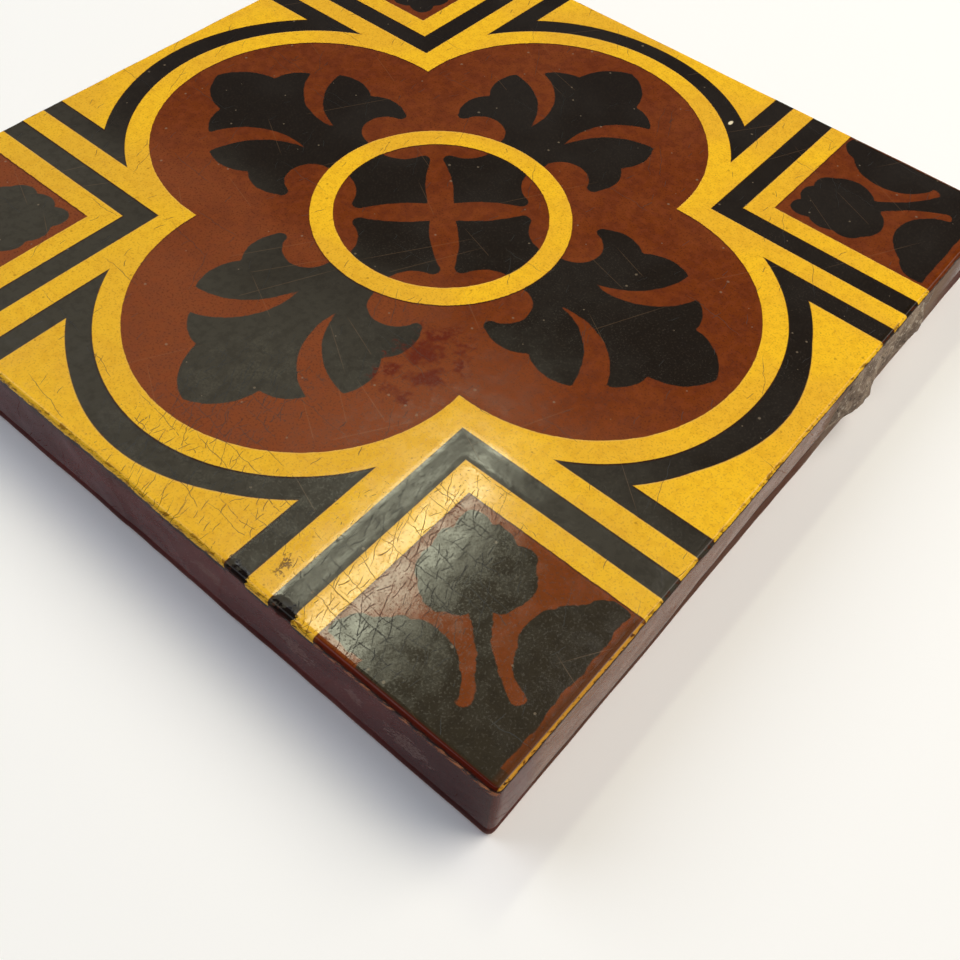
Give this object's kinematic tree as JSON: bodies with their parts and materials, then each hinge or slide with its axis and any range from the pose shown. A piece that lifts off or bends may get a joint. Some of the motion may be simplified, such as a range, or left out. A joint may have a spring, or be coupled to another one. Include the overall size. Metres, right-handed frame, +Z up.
{
  "type": "encaustic tile",
  "caption": "Square fired clay floor tile with a glazed face inlaid in red, yellow and black clay: a quatrefoil with leaves, a ring and corner chevrons.",
  "frame": {"origin": "centre of the bed face, on the surface the tile lies on", "axes": "+Z up through the tile to its patterned face; X and Y along the sides, with the key grooves of the bed face along X"},
  "size_m": [0.1524, 0.1524, 0.0184],
  "materials": {
    "glazed_clay": "gloss"
  },
  "bodies": {
    "root": {"tile": "glazed_clay"}
  },
  "joints": []
}
